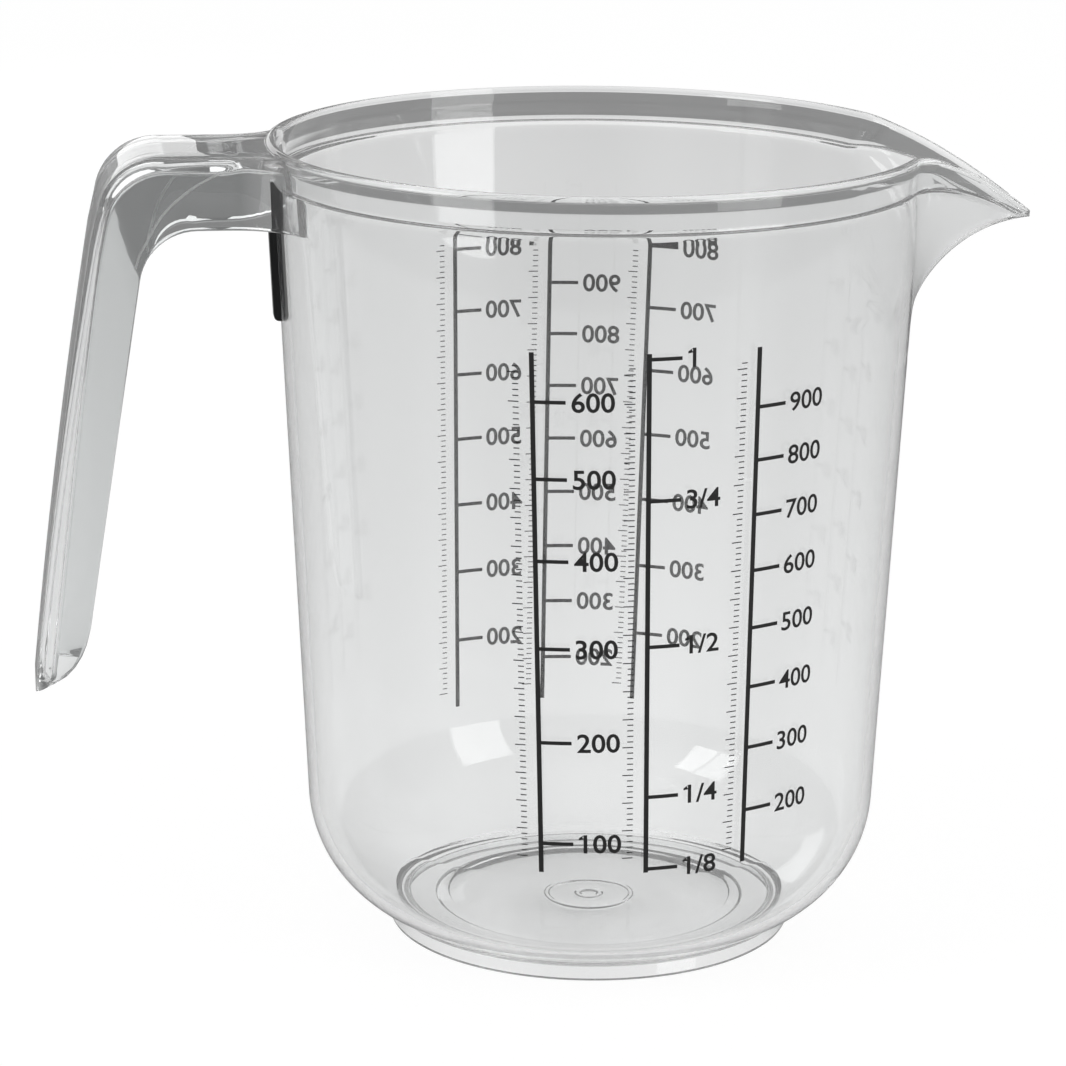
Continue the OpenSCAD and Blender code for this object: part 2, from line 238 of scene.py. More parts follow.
def rounded(points, steps=3):
    """An open outline of (x, y, radius) with an arc at each inner corner that has a radius."""
    out = [points[0][:2]]
    for before, at, after in zip(points, points[1:], points[2:]):
        p, r = Vector(at[:2]), at[2]
        if not r:
            out.append(tuple(p))
            continue
        u = (Vector(before[:2]) - p).normalized()
        v = (Vector(after[:2]) - p).normalized()
        half = u.angle(v) / 2
        centre = p + (u + v).normalized() * (r / math.sin(half))
        a, b = p + u * (r / math.tan(half)) - centre, p + v * (r / math.tan(half)) - centre
        turn = a.angle_signed(b)
        for i in range(steps + 1):
            q = Matrix.Rotation(-turn * i / steps, 2) @ a
            out.append(tuple(centre + q))
    out.append(points[-1][:2])
    return out


def wall_slope(cup):
    """How much the wall's radius grows per height."""
    return (cup.wall_top - cup.wall_base) / (cup.height - cup.collar - cup.shoulder_height)


def wall_radius(cup, z):
    """Radius of the wall's outer face at a height."""
    return cup.wall_base + wall_slope(cup) * (z - cup.shoulder_height)


def smoothstep(x):
    """A soft step from 0 to 1."""
    x = min(1.0, max(0.0, x))
    return x * x * (3 - 2 * x)


# The beak, as a push on the cup's wall


class Beak:
    """Where the wall goes at an azimuth, outside and inside."""

    # shares of the mouth over which the collar fades into the lip
    FADE_FROM, FADE_OVER = 0.04, 0.36
    # height of the crest at the tip, as a share of the rim's, and how much the lip's band swells
    TIP_CREST, SWELL = 0.6, 0.00036

    def __init__(self, cup, spout):
        self.cup, self.s = cup, spout
        self.out = spout.tip - wall_radius(cup, cup.height - spout.droop)
        self.rise = cup.height - spout.keel - spout.droop - spout.lip
        self.r = (self.out**2 + self.rise**2) / (2 * self.out)

    def mouth(self, azimuth, half):
        """1 at the nose, falling to 0 at half of an angle to either side."""
        s = self.s
        return max(0.0, 1 - (math.hypot(azimuth, s.nose) - s.nose) / half)

    def keel_out(self, share):
        """How far the keel's arc stands out from the wall."""
        return self.r - math.sqrt(max(0.0, self.r**2 - (share * self.rise) ** 2))

    def push(self, azimuth, share):
        """How far the wall is pushed out at a share of the beak's height."""
        share = min(1.0, max(0.0, share))
        s = self.s
        opened = math.sqrt(max(0.0, self.keel_out(share)) / self.out)
        half = s.keel_angle + (s.mouth - s.keel_angle) * opened
        return self.keel_out(share) * self.mouth(azimuth, half) ** s.hollow

    def move(self, radius, z, azimuth):
        """New radius and height of a point of the plain cup's wall."""
        cup, s = self.cup, self.s
        if z <= s.keel:
            return radius, z
        plain = wall_radius(cup, z)
        collar_z, crest_z = cup.height - cup.collar, cup.height - cup.crest
        rim = cup.collar_step + RIM_GROWTH
        middle = rim - cup.collar_wall / 2 if z > collar_z + 0.01 * MM else -cup.wall / 2
        outside = radius > plain + middle
        mouth = self.mouth(azimuth, s.mouth)
        fade = 1 - smoothstep((mouth - self.FADE_FROM) / self.FADE_OVER)
        lip_z = cup.height - s.droop * mouth**2
        band = cup.collar + (s.lip - cup.collar) * mouth
        step_z = lip_z - band
        crest = cup.crest * (self.TIP_CREST + (1 - self.TIP_CREST) * fade)
        if z <= collar_z:
            new_z = s.keel + (z - s.keel) * (step_z - s.keel) / (collar_z - s.keel)
        elif z <= crest_z:
            new_z = step_z + (z - collar_z) * (lip_z - crest - step_z) / (crest_z - collar_z)
        else:
            new_z = lip_z - (cup.height - z) * crest / cup.crest
        share = min(1.0, (new_z - s.keel) / (step_z - s.keel))
        face = wall_radius(cup, new_z) + self.push(azimuth, share)
        if z > crest_z:
            # the crest keeps its round, outside here and inside below
            if outside:
                return face + fade * rim + radius - plain - rim, new_z
            face += fade * (rim - cup.collar_wall + cup.wall) + radius - plain - rim + cup.collar_wall
        elif outside:
            return face + fade * (radius - plain), new_z
        else:
            face += fade * (radius - plain + cup.wall)
        # the lip's band is thicker towards its edge, as the collar is
        up = min(1.0, max(0.0, (new_z - step_z) / (lip_z - crest - step_z)))
        swell = (1 - fade) * self.SWELL * band / cup.collar
        return face - cup.wall - swell * (2 * up - smoothstep(share)), new_z


# Finishes

# where the plastic starts to deepen towards the handle, along X
HANDLE_START = -0.0615
# the noise's range that the streaks use, and how far they scale the colour
STREAK_RANGE = (0.34, 0.66, 0.972, 1.024)
# the noise is drawn out along Z, as a moulding's flow lines are
UPRIGHT = (1, 1, 0.12)
CLEAR_IOR, CLEAR_SPECULAR = 1.51, 0.36
MOST_BOUNCES = 6
# whitish colour of the witness lines: a painted highlight, in place of the clear plastic's bright edge
# highlights
WITNESS_HIGHLIGHT_TINT = (0.93, 0.94, 0.94)
SURFACE_INPUTS = ("Wave Scale", "Scuff Scale", "Smooth", "Scuffed")
# per finish: scales of the waves and scuffs, roughness where smooth and where scuffed, height of the waves
CLEAR = dict(wave=34.0, scuff=900.0, smooth=0.0, scuffed=0.05, bump=0.00004, transmission=0.98)
WITNESS = dict(wave=30.0, scuff=700.0, smooth=0.15, scuffed=0.3, bump=0.00001)
RIB = dict(wave=60.0, scuff=700.0, smooth=0.08, scuffed=0.22, bump=0.00003)
INK = dict(wave=120.0, scuff=1500.0, smooth=0.69, scuffed=0.74, bump=0.00001)


def moulded_surface():
    """Upright waviness and handling marks of a moulded surface, as a height and a roughness."""
    if "moulded_surface" in bpy.data.node_groups:
        return bpy.data.node_groups["moulded_surface"]
    group = bpy.data.node_groups.new("moulded_surface", "ShaderNodeTree")
    for name in SURFACE_INPUTS:
        group.interface.new_socket(name=name, in_out="INPUT", socket_type="NodeSocketFloat")
    for name in ("Height", "Roughness"):
        group.interface.new_socket(name=name, in_out="OUTPUT", socket_type="NodeSocketFloat")
    gi, go = group.nodes.new("NodeGroupInput"), group.nodes.new("NodeGroupOutput")
    n, link = group.nodes, group.links
    coord = n.new("ShaderNodeTexCoord")
    wave = n.new("ShaderNodeTexNoise")
    wave.inputs["Detail"].default_value = 1.5
    scuff = n.new("ShaderNodeTexNoise")
    scuff.inputs["Detail"].default_value = 4.0
    ramp = n.new("ShaderNodeMapRange")
    ramp.inputs["From Min"].default_value = 0.52
    ramp.inputs["From Max"].default_value = 0.78
    stretch = n.new("ShaderNodeVectorMath")
    stretch.operation = "MULTIPLY"
    stretch.inputs[1].default_value = UPRIGHT
    link.new(coord.outputs["Object"], stretch.inputs[0])
    link.new(stretch.outputs["Vector"], wave.inputs["Vector"])
    link.new(coord.outputs["Object"], scuff.inputs["Vector"])
    link.new(gi.outputs["Wave Scale"], wave.inputs["Scale"])
    link.new(gi.outputs["Scuff Scale"], scuff.inputs["Scale"])
    link.new(scuff.outputs["Fac"], ramp.inputs["Value"])
    link.new(gi.outputs["Smooth"], ramp.inputs["To Min"])
    link.new(gi.outputs["Scuffed"], ramp.inputs["To Max"])
    link.new(wave.outputs["Fac"], go.inputs["Height"])
    link.new(ramp.outputs["Result"], go.inputs["Roughness"])
    return group


def streaked_base(n, link, colour, deeper, height):
    """A base colour that is a little deeper in the thicker handle, and streaked upright."""
    coord = n.new("ShaderNodeTexCoord")
    split = n.new("ShaderNodeSeparateXYZ")
    place = n.new("ShaderNodeMapRange")
    place.interpolation_type = "SMOOTHSTEP"
    place.inputs["From Min"].default_value = HANDLE_START
    place.inputs["From Max"].default_value = HANDLE_START - 0.005
    tint = n.new("ShaderNodeMix")
    tint.data_type = "RGBA"
    tint.inputs[6].default_value = (*colour, 1)
    tint.inputs[7].default_value = (*deeper, 1)
    streak = n.new("ShaderNodeMapRange")
    for socket, value in zip(("From Min", "From Max", "To Min", "To Max"), STREAK_RANGE):
        streak.inputs[socket].default_value = value
    scaled = n.new("ShaderNodeVectorMath")
    scaled.operation = "SCALE"
    link.new(coord.outputs["Object"], split.inputs[0])
    link.new(split.outputs["X"], place.inputs["Value"])
    link.new(place.outputs["Result"], tint.inputs[0])
    link.new(height, streak.inputs["Value"])
    link.new(tint.outputs[2], scaled.inputs[0])
    link.new(streak.outputs["Result"], scaled.inputs["Scale"])
    return scaled.outputs["Vector"]


def let_deep_rays_out(n, link, shader):
    """After many bounces in the wall the light leaves straight, so thin edges don't turn black."""
    path = n.new("ShaderNodeLightPath")
    deep = n.new("ShaderNodeMath")
    deep.operation = "GREATER_THAN"
    deep.inputs[1].default_value = MOST_BOUNCES + 0.5
    leave = n.new("ShaderNodeBsdfTransparent")
    mix = n.new("ShaderNodeMixShader")
    link.new(path.outputs["Ray Depth"], deep.inputs[0])
    link.new(deep.outputs[0], mix.inputs["Fac"])
    link.new(shader.outputs[0], mix.inputs[1])
    link.new(leave.outputs[0], mix.inputs[2])
    link.new(mix.outputs[0], n["Material Output"].inputs["Surface"])


def finish_material(name, colour, wave, scuff, smooth, scuffed, bump, transmission=0.0, deeper=None):
    """A Principled material whose roughness and bump come from the moulded surface."""
    mat = bpy.data.materials.new(name)
    mat.use_nodes = True
    n, link = mat.node_tree.nodes, mat.node_tree.links
    shader = n["Principled BSDF"]
    shader.inputs["Base Color"].default_value = (*colour, 1)
    shader.inputs["Metallic"].default_value = 0.0
    shader.inputs["IOR"].default_value = CLEAR_IOR if transmission else 1.5
    shader.inputs["Transmission Weight"].default_value = transmission
    shader.inputs["Specular IOR Level"].default_value = CLEAR_SPECULAR if transmission else 0.5
    group = n.new("ShaderNodeGroup")
    group.node_tree = moulded_surface()
    for socket, value in zip(SURFACE_INPUTS, (wave, scuff, smooth, scuffed)):
        group.inputs[socket].default_value = value
    bumped = n.new("ShaderNodeBump")
    bumped.inputs["Strength"].default_value = 1.0
    bumped.inputs["Distance"].default_value = bump
    if deeper:
        base = streaked_base(n, link, colour, deeper, group.outputs["Height"])
        link.new(base, shader.inputs["Base Color"])
    if transmission:
        let_deep_rays_out(n, link, shader)
    link.new(group.outputs["Height"], bumped.inputs["Height"])
    link.new(group.outputs["Roughness"], shader.inputs["Roughness"])
    link.new(bumped.outputs["Normal"], shader.inputs["Normal"])
    return mat


def made_mesh(bm, name):
    """A mesh of a bmesh, which is freed."""
    mesh = bpy.data.meshes.new(name)
    bm.to_mesh(mesh)
    bm.free()
    return mesh


def add_piece(target, bm):
    """Moves a bmesh over into another."""
    piece = made_mesh(bm, "piece")
    target.from_mesh(piece)
    bpy.data.meshes.remove(piece)


def link_object(name, mesh, material):
    """A new object at the origin with the mesh and its material."""
    obj = bpy.data.objects.new(name, mesh)
    bpy.context.scene.collection.objects.link(obj)
    mesh.materials.append(material)
    return obj


def shade_smooth(obj, angle=35):
    """Smooth faces, with sharp edges past an angle."""
    mesh = obj.data
    bm = bmesh.new()
    bm.from_mesh(mesh)
    limit = math.radians(angle)
    for f in bm.faces:
        f.smooth = True
    for e in bm.edges:
        if len(e.link_faces) == 2:
            e.smooth = e.calc_face_angle(0) < limit
    bm.to_mesh(mesh)
    bm.free()


# The moulding


# under the floor, as (distance from the axis, height over the underside, round)
GATE_MARK = ((0.0, 0.0002, 0), (0.0015, 0.0002, 0.0001), (0.0018, -0.0003, 0.0001), (0.0024, -0.0003, 0.0001))
GATE_RING = ((0.0076, 0, 0.0001), (0.0078, -0.00025, 0.0001), (0.0084, -0.00025, 0.0001), (0.0086, 0, 0.0001))
GATE_END = (0.0028, 0.0, 0.0002)
FOOT_WALL, FOOT_ROUND, FOOT_EDGE = 0.0024, 0.0005, 0.0008
# degrees of the shoulder's arc that are left off beside the foot ring
OFF_INSIDE, OFF_OUTSIDE = 1.5, 1.2
# the ledge round the inner floor, and the spacing of the floor's rings
LEDGE_IN, LEDGE_DROP, FLOOR_RING = 0.0025, 0.0003, 0.006
FINE_ROUND, STEP_CORNER, STEP_ROUND, INNER_ROUND = 0.0001, 0.00012, 0.0003, 0.0004
# the collar's waist: how thin, where its slope starts and how steep, and what its foot adds up to a share
WAIST, WAIST_KNEE, WAIST_SLOPE, WAIST_FOOT, FOOT_SHARE = 0.000283, 0.5565, 0.000955, 0.000054, 0.51
# the share of the collar's taper that its outer face takes
TAPER_OUT = 0.35
WALL_RINGS, SHOULDER_STEPS = 26, 36
# to either side of the nose, how far the cup's columns are drawn towards it, and how strongly
BEAK_REACH, GATHERING = math.radians(32), 1.45


def underside(cup, sx):
    """The outline under the cup: gate mark, gate ring, recessed disc, shoulder and foot ring."""
    ring = cup.foot - FOOT_WALL
    ring_angle = math.degrees(math.acos((ring - sx) / cup.shoulder))
    ring_z = cup.shoulder_height - cup.shoulder * math.sin(math.radians(ring_angle))
    points = [(r, cup.floor_under + z, edge) for r, z, edge in (*GATE_MARK, GATE_END, *GATE_RING)]
    points += [
        (cup.disc - 0.0001, cup.floor_under, FINE_ROUND),
        (cup.disc + 0.0002, cup.shoulder_height - cup.shoulder, FINE_ROUND),
    ]
    ring_angle += OFF_INSIDE
    points += [(*p, 0) for p in arc(sx, cup.shoulder_height, cup.shoulder, -89, -ring_angle, 8)]
    points += [
        (ring, ring_z, FOOT_ROUND),
        (ring + 0.0002, 0.0, FOOT_ROUND),
        (cup.foot, 0.0, FOOT_EDGE),
        (cup.foot + 0.00005, cup.foot_height, 0),
    ]
    return rounded(points, 4)


def collar_waist(share):
    """How much thinner the collar is than its crest at a share of its height: shallow, then a slope."""
    if share < WAIST_KNEE:
        return WAIST + WAIST_FOOT * max(0.0, 1 - share / FOOT_SHARE) ** 2
    return WAIST - WAIST_SLOPE * (share - WAIST_KNEE)


def collar_outline(cup, last):
    """The collar's outline, from the wall's last height outside over the crest to the wall inside."""
    collar_z = cup.height - cup.collar
    low_out = cup.wall_top + cup.collar_step
    rim_out = wall_radius(cup, cup.height) + cup.collar_step + RIM_GROWTH
    low_in, c = low_out - cup.collar_wall, cup.crest
    step = [(wall_radius(cup, last), last, 0), (cup.wall_top, collar_z, STEP_CORNER)]
    step += [(low_out, collar_z, STEP_ROUND), (rim_out, cup.height, 0)]
    # the collar is thicker towards its crest, which darkens the band under it
    shares = [0.08 + 0.43 * i / 5 for i in range(6)] + [0.58 + 0.27 * i / 4 for i in range(5)]
    outside, inside = [], []
    for k in shares:
        out, z, waist = (rim_out - low_out) * k, collar_z + cup.collar * k, collar_waist(k)
        outside.append((low_out + out - TAPER_OUT * waist, z))
        inside.append((low_in + out + (1 - TAPER_OUT) * waist, z))
    inside.reverse()
    crest = arc(rim_out - c, cup.height - c, c, 6, 90, 6)
    crest += arc(rim_out - cup.collar_wall + c, cup.height - c, c, 90, 176, 6)
    step_in = [
        (*inside[-1], 0),
        (low_in + 0.0002, collar_z, INNER_ROUND),
        (cup.wall_top - cup.wall, collar_z - INNER_ROUND, INNER_ROUND),
        (wall_radius(cup, last) - cup.wall, last - INNER_ROUND, 0),
    ]
    return rounded(step)[1:-1] + outside + crest + inside + rounded(step_in)[1:-1]


def cup_outline(cup, spout):
    """The cup's section, from the middle of the underside round to the middle of the inner floor."""
    lean = math.atan(wall_slope(cup))
    upright = -math.degrees(lean)
    sx = cup.wall_base - cup.shoulder / math.cos(lean)
    inner = cup.shoulder_height - cup.floor
    ix = cup.wall_base - cup.wall - inner / math.cos(lean)
    foot_angle = math.degrees(math.acos((cup.foot - sx) / cup.shoulder))
    foot_angle -= OFF_OUTSIDE
    outer = arc(sx, cup.shoulder_height, cup.shoulder, -foot_angle, upright, SHOULDER_STEPS)
    collar_z = cup.height - cup.collar
    plain, rise = spout.keel - cup.shoulder_height, collar_z - spout.keel
    heights = [cup.shoulder_height + plain * (i + 1) / WALL_RINGS for i in range(WALL_RINGS)]
    heights += [spout.keel + rise * math.sin(math.radians(90 * i / WALL_RINGS)) for i in range(1, WALL_RINGS)]
    wall_out = [(wall_radius(cup, z), z) for z in heights]
    wall_in = [(r - cup.wall, z) for r, z in reversed(wall_out) if z < collar_z - 3 * INNER_ROUND]
    inside = arc(ix, cup.shoulder_height, inner, upright, -90, SHOULDER_STEPS)
    low, edge = cup.floor - LEDGE_DROP, cup.disc - LEDGE_IN
    ledge = [(ix, cup.floor, 0), (edge, cup.floor, FINE_ROUND), (edge - 0.0002, low, FINE_ROUND)]
    floor = rounded(ledge + [(4 * FLOOR_RING, low, 0)], 2)[1:]
    floor += [(FLOOR_RING * k, low) for k in (3, 2, 1, 0)]
    return underside(cup, sx) + outer + wall_out + collar_outline(cup, heights[-1]) + wall_in + inside + floor


def cup_mesh(cup, spout):
    """The cup as one revolved shell, with the beak pushed out of its wall."""
    bm = bmesh.new()
    verts = [bm.verts.new((-r, 0, z)) for r, z in cup_outline(cup, spout)]
    edges = [bm.edges.new(pair) for pair in zip(verts, verts[1:])]
    turn = 2 * math.pi
    bmesh.ops.spin(bm, geom=verts + edges, axis=(0, 0, 1), angle=turn, steps=cup.steps, use_merge=True)
    bmesh.ops.remove_doubles(bm, verts=bm.verts, dist=1e-6)
    beak = Beak(cup, spout)
    for v in bm.verts:
        radius = math.hypot(v.co.x, v.co.y)
        azimuth = math.atan2(v.co.y, v.co.x)
        if v.co.z <= spout.keel or abs(azimuth) >= BEAK_REACH:
            continue
        # columns move closer together towards the nose
        azimuth = math.copysign(BEAK_REACH * (abs(azimuth) / BEAK_REACH) ** GATHERING, azimuth)
        radius, z = beak.move(radius, v.co.z, azimuth)
        v.co = (radius * math.cos(azimuth), radius * math.sin(azimuth), z)
    bmesh.ops.recalc_face_normals(bm, faces=bm.faces)
    return made_mesh(bm, "jug_moulding")


# the handle's outer line and free edge, as (distance from the axis, height), and the outer line's bow
OUTER_TOP, OUTER_LOW = Vector((0.0918, 0.1372)), Vector((0.1043, 0.0495))
FREE_TOP, FREE_LOW = Vector((0.0857, 0.1166)), Vector((0.0940, 0.0620))
OUTER_BOW, BOW_TOP, BOW_LENGTH = 0.00095, 0.1495, 0.100
OUTER_CORNER, FREE_CORNER = 0.0112, 0.0105
# distances from the axis: the top plate's first sections, where it starts to thicken and over how much
BRIDGE_AT, THICKENS_AT, THICKENS_OVER = (0.0672, 0.0685, 0.070, 0.072), 0.064, 0.006
# heights: the top plate's free edge, the lowest outer point of the bridge, and the straight part's end
BRIDGE_EDGE_Z, BRIDGE_LOW, STRAIGHT_LOW = 0.1362, 0.14, 0.0622
STRAIGHT_STEPS, CORNER_STEPS = 14, 12
# how deep the root's sections and its end lie in the wall
ROOT_STEPS, ROOT_DEPTH, ROOT_END = 10, 0.0007, 0.0006
LEAST_DEPTH, LIP_ROUND, ROOT_ROUND = 0.0026, 0.0007, 0.0009
# the most that rounds take of the depth and of the flange under the plate, and a point's place across it
MOST_EDGE, MOST_ROUND, NEAR_MIDDLE = 0.7, 0.45, 0.4
# down the cut end: the outer line's height, and the free edge's place
CUT_END = (
    (0.0588, 0.09478, 0.0590),
    (0.0562, 0.09565, 0.0568),
    (0.0540, 0.09690, 0.0548),
    (0.0524, 0.09845, 0.0531),
    (0.0510, 0.10010, 0.0521),
    (0.0500, 0.10150, 0.0515),
)


def corner(start, along, top, radius):
    """An arc from a level line at a height round into a leaning line."""
    lean = math.degrees(math.atan2(along.x, -along.y))
    meet = start + along * ((top - start.y) / along.y)
    tangent = radius * math.tan(math.radians((90 - lean) / 2))
    return arc(meet.x - tangent, top - radius, radius, 90, lean, CORNER_STEPS)


def handle_stations(handle):
    """Pairs of points (outer face, free edge) down the handle, as (distance from the axis, height)."""
    outer_along = (OUTER_LOW - OUTER_TOP).normalized()
    free_along = (FREE_LOW - FREE_TOP).normalized()

    def outer(z):
        share = max(0.0, (BOW_TOP - z) / BOW_LENGTH)
        p = OUTER_TOP + outer_along * ((z - OUTER_TOP.y) / outer_along.y)
        return p + Vector((-outer_along.y, outer_along.x)) * OUTER_BOW * 4 * share * max(0, 1 - share)

    def free(z):
        return FREE_TOP + free_along * ((z - FREE_TOP.y) / free_along.y)

    outer_arc = corner(OUTER_TOP, outer_along, handle.top, OUTER_CORNER)
    free_arc = corner(FREE_TOP, free_along, BRIDGE_EDGE_Z, FREE_CORNER)
    pairs = [(Vector((u, handle.top)), Vector((u, BRIDGE_EDGE_Z))) for u in BRIDGE_AT]
    pairs += [(Vector(o), Vector(i)) for o, i in zip(outer_arc, free_arc)]
    outer_z, free_z = outer_arc[-1][1], free_arc[-1][1]
    for k in range(1, STRAIGHT_STEPS + 1):
        share = k / STRAIGHT_STEPS
        low_outer = outer(outer_z + (STRAIGHT_LOW - outer_z) * share)
        pairs.append((low_outer, free(free_z + (FREE_LOW.y - free_z) * share)))
    pairs += [(outer(z), Vector(edge)) for z, *edge in CUT_END]
    return pairs


def half_width(handle, z):
    """Half of the handle's width at a height."""
    share = min(1.0, max(0.0, (handle.top - z) / (handle.top - OUTER_LOW.y)))
    return handle.half_top + (handle.half_tip - handle.half_top) * share


def bridge_plate(handle, u):
    """The top plate's thickness at a distance from the axis."""
    return handle.bridge + (handle.plate - handle.bridge) * smoothstep((u - THICKENS_AT) / THICKENS_OVER)


def channel_ring(half, depth, handle, plate):
    """A channel's section with a fixed number of points, whatever its depth, as (across, depth)."""
    depth = max(depth, LEAST_DEPTH)
    outer = min(handle.edge, depth * MOST_EDGE)
    plate = min(plate, depth - FINE_ROUND)
    room = MOST_ROUND * max(0.0, depth - plate)
    lip, root = min(LIP_ROUND, room), min(ROOT_ROUND, room)
    inner = half - handle.flange
    pts = [(half * k, 0.0) for k in (0.0, NEAR_MIDDLE)]
    pts += arc(half - outer, outer, outer, -90, 0, 6)
    pts += arc(half - lip, depth - lip, lip, 0, 90, 3)
    pts += arc(inner + lip, depth - lip, lip, 90, 180, 3)
    pts += arc(inner - root, plate + root, root, 0, -90, 4)
    pts += [(inner * NEAR_MIDDLE, plate)]
    left = [(-y, d) for y, d in reversed(pts[1:])]
    return pts + [(0.0, plate)] + left


def root_sections(cup, handle, contact_x):
    """The handle's root, which flares round the cup's wall and ends inside it."""
    flare_y = handle.half_top + handle.flare
    contact = math.degrees(math.atan2(flare_y, contact_x))
    buried = cup.wall_top - ROOT_DEPTH
    sections = []
    for k in range(ROOT_STEPS, -1, -1):
        share = k / ROOT_STEPS
        a = math.radians(270 - (90 - contact) * share)
        px, py = contact_x + handle.flare * math.cos(a), flare_y + handle.flare * math.sin(a)
        if k == ROOT_STEPS:
            scale = buried / math.hypot(px, py)
            px, py = px * scale, py * scale
        mid = contact_x + (buried - contact_x) * share
        ring = []
        for y, d in channel_ring(py, handle.top - BRIDGE_EDGE_Z, handle, bridge_plate(handle, px)):
            x = mid + (px - mid) * min(1.0, abs(y) / py) ** 2
            z = handle.top - d
            if k == ROOT_STEPS:
                # the last section lies inside the wall's thickness
                x = math.sqrt(max(0.0, (wall_radius(cup, z) - ROOT_END) ** 2 - y * y))
            ring.append((-x, y, z))
        sections.append(ring)
    return sections


def handle_mesh(cup, handle):
    """The channel-section handle, swept section by section from inside the wall to its tip."""
    contact_x = math.sqrt((cup.wall_top + handle.flare) ** 2 - (handle.half_top + handle.flare) ** 2)
    sections = root_sections(cup, handle, contact_x)
    for outer, free in handle_stations(handle):
        if outer.x <= contact_x + 0.0005:
            continue
        down = (free - outer).normalized()
        plate = bridge_plate(handle, outer.x) if outer.y > BRIDGE_LOW else handle.plate
        ring = []
        for y, d in channel_ring(half_width(handle, outer.y), (free - outer).length, handle, plate):
            p = outer + down * d
            ring.append((-p.x, y, p.y))
        sections.append(ring)
    return made_mesh(sweep(sections), "jug_handle")


def sweep(sections):
    """A closed solid through sections of equal point counts, extruded from one to the next."""
    bm = bmesh.new()
    ring = [bm.verts.new(co) for co in sections[0]]
    edges = [bm.edges.new(pair) for pair in zip(ring, ring[1:] + ring[:1])]
    bmesh.ops.edgeloop_fill(bm, edges=edges)
    for section in sections[1:]:
        made = bmesh.ops.extrude_edge_only(bm, edges=edges)["geom"]
        fresh = {g for g in made if isinstance(g, bmesh.types.BMVert)}
        edges = [g for g in made if isinstance(g, bmesh.types.BMEdge) and fresh.issuperset(g.verts)]
        ring = [next(v for e in old.link_edges for v in e.verts if v in fresh) for old in ring]
        for v, co in zip(ring, section):
            v.co = co
    bmesh.ops.edgeloop_fill(bm, edges=edges)
    bmesh.ops.triangulate(bm, faces=[f for f in bm.faces if len(f.verts) > 4])
    bmesh.ops.remove_doubles(bm, verts=bm.verts, dist=1e-6)
    bmesh.ops.recalc_face_normals(bm, faces=bm.faces)
    return bm


# a witness line's way over the flange, as distances from the axis and heights in millimetres
WITNESS_WAY = ((84.9, 129.4), (84.2, 131.8), (82.9, 134.2), (79.8, 139.4), (74.9, 143.8), (69.9, 146.6))
WITNESS_RADIUS, WITNESS_FLATTENED, WITNESS_SUNK, WITNESS_SIDES = 0.00022, 0.75, 0.00006, 10


def smooth_way(points, steps=4):
    """A curve through every point, with a few steps between each two."""
    fine = []
    for a, b, c, d in zip(points[:1] + points[:-2], points[:-1], points[1:], points[2:] + points[-1:]):
        for k in range(steps):
            t = k / steps
            line = 2 * b + (c - a) * t
            bend = (2 * a - 5 * b + 4 * c - d) * t**2 + (3 * b - a - 3 * c + d) * t**3
            fine.append(0.5 * (line + bend))
    return fine + [points[-1]]


def flange_bead(handle, side):
    """A fine raised line on a flange's outer face, from under the corner up to the cup."""
    way = smooth_way([Vector(p) * MM for p in WITNESS_WAY])
    sections = []
    for before, p, after in zip(way[:1] + way, way, way[1:] + way[-1:]):
        along = (after - before).normalized()
        across = Vector((along.y, -along.x))
        face = half_width(handle, p.y) - WITNESS_SUNK
        ring = []
        for k in range(WITNESS_SIDES):
            a = 2 * math.pi * k / WITNESS_SIDES
            q = p + across * (WITNESS_RADIUS * math.cos(a))
            ring.append((-q.x, side * (face + WITNESS_RADIUS * WITNESS_FLATTENED * math.sin(a)), q.y))
        sections.append(ring)
    return sweep(sections)


class JUG_OT_moulding(bpy.types.Operator):
    """Builds the jug's one clear moulding: cup, foot, collar, beak and handle"""

    bl_idname = "jug.moulding"
    bl_label = "Clear Moulding"

    def execute(self, context):
        scene = context.scene
        looks = scene.jug_looks
        plastic = finish_material("clear_plastic", looks.plastic, **CLEAR, deeper=looks.handle)
        plain = cup_mesh(scene.jug_cup, scene.jug_spout)
        body = link_object("jug_moulding", plain, plastic)
        other = link_object("joined_part", handle_mesh(scene.jug_cup, scene.jug_handle), plastic)
        join = body.modifiers.new("join", "BOOLEAN")
        join.operation = "UNION"
        join.solver = "MANIFOLD"
        join.object = other
        context.view_layer.update()
        merged = bpy.data.meshes.new_from_object(body.evaluated_get(context.evaluated_depsgraph_get()))
        body.modifiers.clear()
        body.data = merged
        bpy.data.objects.remove(other)
        bm = bmesh.new()
        bm.from_mesh(merged)
        closed = all(len(e.link_faces) == 2 for e in bm.edges)
        joined = len(bm.verts) > len(plain.vertices)
        bm.free()
        if not (closed and joined):
            raise RuntimeError("the handle did not join the cup")
        shade_smooth(body, 32)
        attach(body, "root")
        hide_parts(*CLEAR_NODES)
        return {"FINISHED"}


class JUG_OT_lines(bpy.types.Operator):
    """Lays the fine raised witness lines on the handle's flanges, in an opaque whitish finish that is a
    painted highlight of their edges
    """

    bl_idname = "jug.lines"
    bl_label = "Witness Lines"

    def execute(self, context):
        both = bmesh.new()
        for side in (-1, 1):
            add_piece(both, flange_bead(context.scene.jug_handle, side))
        # the lines are opaque and whitish: a painted highlight where the clear plastic's edges would catch
        # the light
        plastic = finish_material("witness_painted_highlight", WITNESS_HIGHLIGHT_TINT, **WITNESS)
        lines = link_object("witness_lines_painted_highlight", made_mesh(both, "witness_lines_painted_highlight"), plastic)
        shade_smooth(lines)
        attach(lines, "root")
        return {"FINISHED"}


